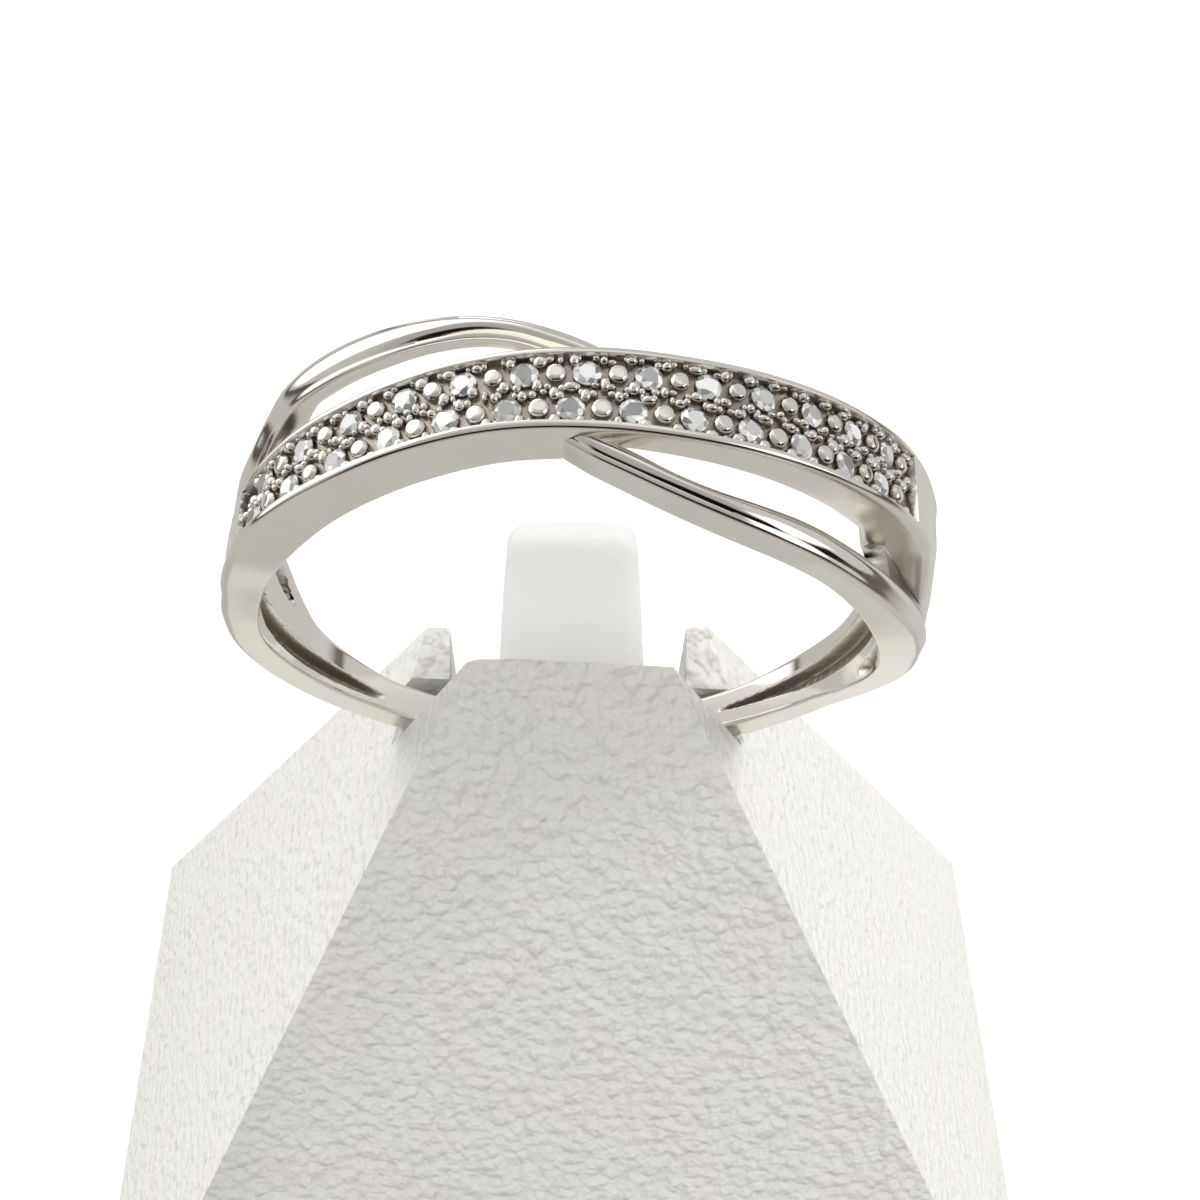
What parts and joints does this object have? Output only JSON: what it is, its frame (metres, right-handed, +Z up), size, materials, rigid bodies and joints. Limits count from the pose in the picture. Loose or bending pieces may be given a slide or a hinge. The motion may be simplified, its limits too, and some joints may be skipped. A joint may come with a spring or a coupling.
{
  "type": "interlocking ring on display stand",
  "caption": "White gold ring whose stone-paved band crosses a plain polished band, set upright in a white pyramid display stand.",
  "frame": {"origin": "middle of the stand's base, on the surface that it stands on", "axes": "+Z up, +X to the viewer's right, the viewer on -Y, where the jaw and the front of the ring are"},
  "size_m": [0.0354, 0.025, 0.0432],
  "materials": {
    "white_gold": "polished",
    "diamond": "faceted, clear",
    "stand_cover": "white leatherette with a fine grain",
    "tongue_plastic": "smooth, satin"
  },
  "bodies": {
    "root": {"ring_band": "white_gold", "diamonds": "diamond", "display_stand": "stand_cover", "stand_tongue": "tongue_plastic"}
  },
  "joints": []
}
